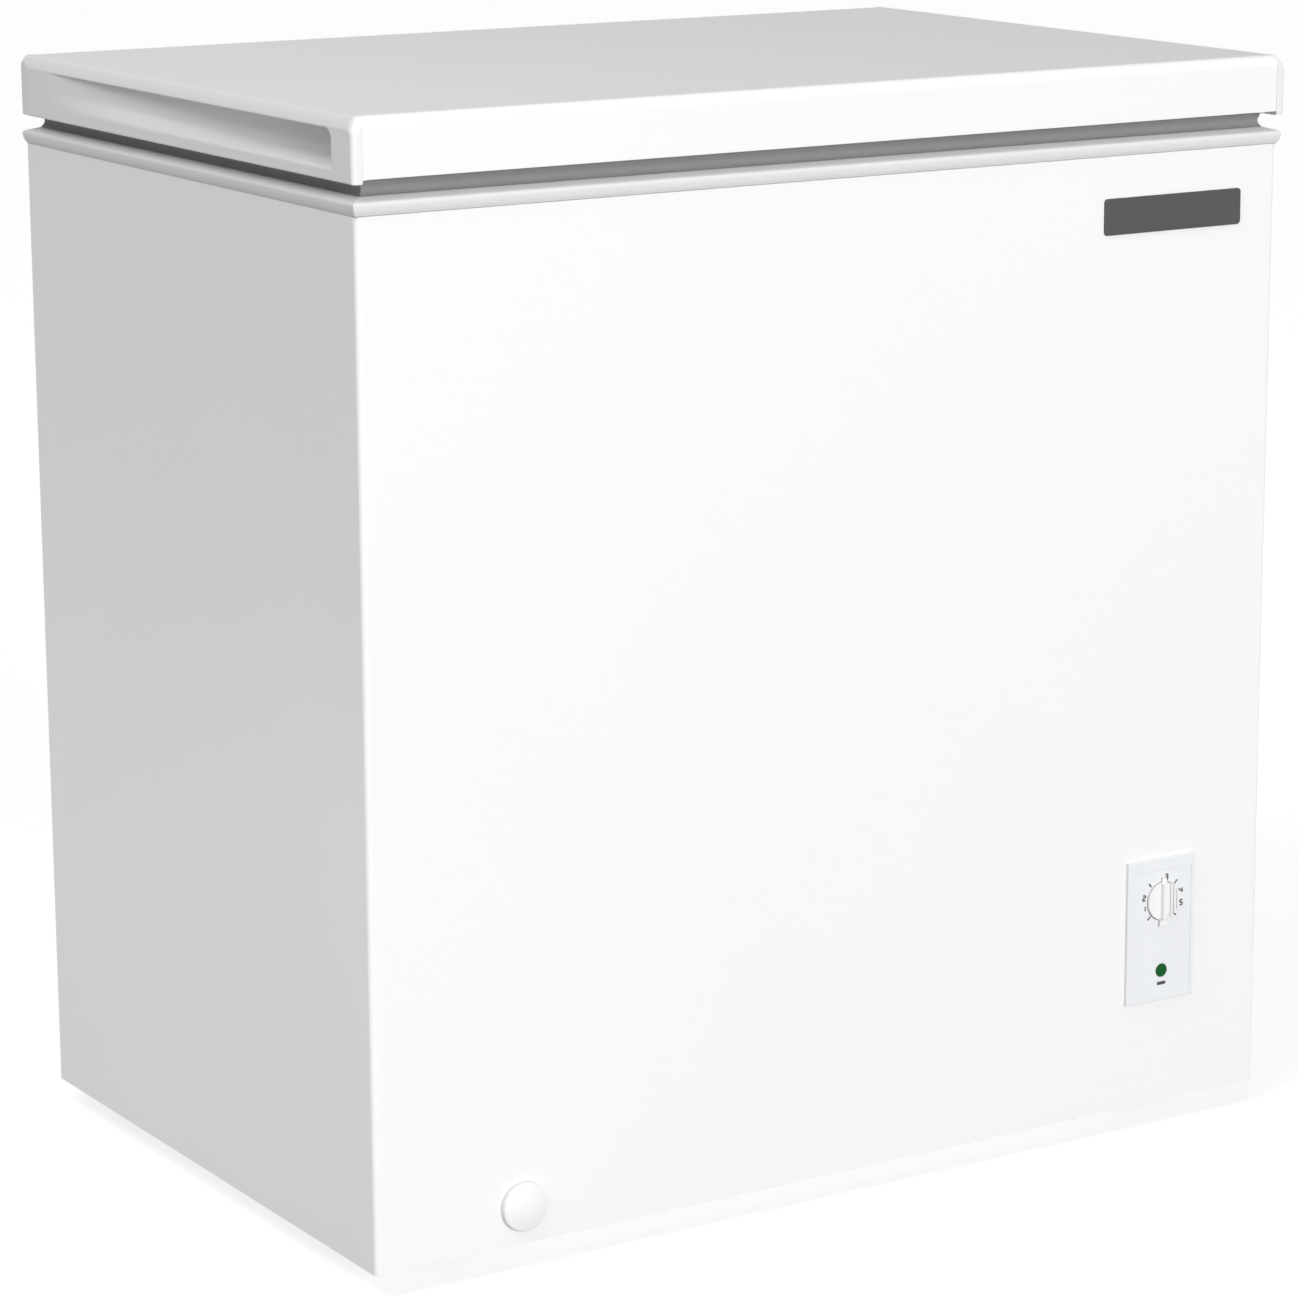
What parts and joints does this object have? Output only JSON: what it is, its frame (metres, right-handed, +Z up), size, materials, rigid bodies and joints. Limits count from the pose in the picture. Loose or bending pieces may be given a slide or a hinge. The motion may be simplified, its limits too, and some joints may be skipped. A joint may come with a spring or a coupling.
{
  "type": "chest freezer",
  "caption": "White chest freezer with a foamed lid on spring hinges, finger recesses at both lid ends, a dial control panel low at the right and a drain cap low at the left.",
  "frame": {"origin": "on the floor under the middle of the object's box", "axes": "+X to the user's right, +Y to the back where the hinges are, +Z up"},
  "size_m": [0.816, 0.5726, 0.85],
  "materials": {
    "white_steel": "gloss",
    "back_steel": "satin",
    "zinc_steel": "satin",
    "foam": "matte",
    "liner_sheet": "satin",
    "frame_plastic": "satin",
    "white_plastic": "satin",
    "knob_plastic": "satin",
    "badge_plastic": "satin",
    "gasket_vinyl": "matte",
    "grey_rubber": "matte",
    "foot_plastic": "matte",
    "coil_tube": "satin",
    "black_steel": "satin",
    "steel_tube": "satin",
    "copper": "satin",
    "black_plastic": "satin",
    "thermostat_body": "satin",
    "green_lens": "gloss",
    "drain_pipe": "satin",
    "zinc": "satin",
    "hinge_steel": "satin",
    "hinge_plastic": "satin",
    "wire_insulation": "satin",
    "basket_wire": "gloss"
  },
  "bodies": {
    "cabinet": {"outer_wrap": "white_steel", "back_panel": "back_steel", "rear_access_cover": "back_steel", "base_pan": "zinc_steel", "bulkhead": "zinc_steel", "compressor_base_plate": "zinc_steel", "foam_insulation": "foam", "inner_liner": "liner_sheet", "top_frame": "frame_plastic", "control_panel": "white_plastic", "side_grille": "white_plastic", "name_badge": "badge_plastic", "compressor_mounts": "grey_rubber", "cord_gland": "grey_rubber", "feet": "foot_plastic", "evaporator_coil": "coil_tube", "compressor": "black_steel", "condenser_coil": "steel_tube", "refrigerant_pipes": "copper", "capillary_tube": "copper", "filter_drier": "copper", "sensor_tube": "copper", "terminal_cover": "black_plastic", "start_relay": "black_plastic", "indicator_lamp": "black_plastic", "thermostat": "thermostat_body", "indicator_lens": "green_lens", "drain_tube": "drain_pipe", "compressor_bolts": "zinc", "body_screws": "zinc", "hinge_pin_left": "zinc", "hinge_pin_right": "zinc", "hinge_spring_left": "zinc", "hinge_spring_right": "zinc", "hinge_housing_left": "hinge_steel", "hinge_housing_right": "hinge_steel", "wiring_harness": "wire_insulation"},
    "lid": {"lid_skin": "white_steel", "lid_foam": "foam", "lid_liner": "white_plastic", "lid_gasket": "gasket_vinyl", "lid_cap_left": "white_plastic", "lid_cap_right": "white_plastic", "lid_screws": "zinc", "hinge_arm_left": "hinge_steel", "hinge_arm_right": "hinge_steel", "hinge_cam_left": "hinge_plastic", "hinge_cam_right": "hinge_plastic"},
    "plunger_left": {"hinge_plunger_left": "hinge_plastic"},
    "plunger_right": {"hinge_plunger_right": "hinge_plastic"},
    "knob": {"thermostat_knob": "knob_plastic", "thermostat_shaft": "zinc"},
    "drain_cap": {"drain_cap": "white_plastic"},
    "drain_plug": {"drain_plug": "grey_rubber"},
    "basket": {"basket_front": "basket_wire", "basket_rear": "basket_wire", "basket_left": "basket_wire", "basket_right": "basket_wire", "basket_floor": "basket_wire", "basket_hangers": "basket_wire"}
  },
  "joints": [
    {"name": "lid_hinge", "type": "hinge", "parent": "cabinet", "child": "lid", "pos_m": [0, 0.2733, 0.796], "axis": [-1, 0, 0], "range_deg": [0, 78]},
    {"name": "plunger_left_slide", "type": "slide", "parent": "cabinet", "child": "plunger_left", "axis": [0, 0, 1], "range_m": [0, 0.00685], "deforming": ["hinge_spring_left"]},
    {"name": "plunger_right_slide", "type": "slide", "parent": "cabinet", "child": "plunger_right", "axis": [0, 0, 1], "range_m": [0, 0.00685], "deforming": ["hinge_spring_right"]},
    {"name": "thermostat_turn", "type": "hinge", "parent": "cabinet", "child": "knob", "pos_m": [0.3054, -0.2827, 0.1874], "axis": [0, 1, 0], "range_deg": [0, 300]},
    {"name": "drain_cap_pull", "type": "slide", "parent": "cabinet", "child": "drain_cap", "axis": [0, -1, 0], "range_m": [0, 0.03]},
    {"name": "drain_plug_lift", "type": "slide", "parent": "cabinet", "child": "drain_plug", "axis": [0, 0, 1], "range_m": [0, 0.05]},
    {"name": "basket_slide", "type": "slide", "parent": "cabinet", "child": "basket", "axis": [1, 0, 0], "range_m": [-0.45, 0]}
  ],
  "couplings": [
    {"joint": "plunger_left_slide", "follows": "lid_hinge", "m_per_rad": 0.005},
    {"joint": "plunger_right_slide", "follows": "lid_hinge", "m_per_rad": 0.005}
  ]
}
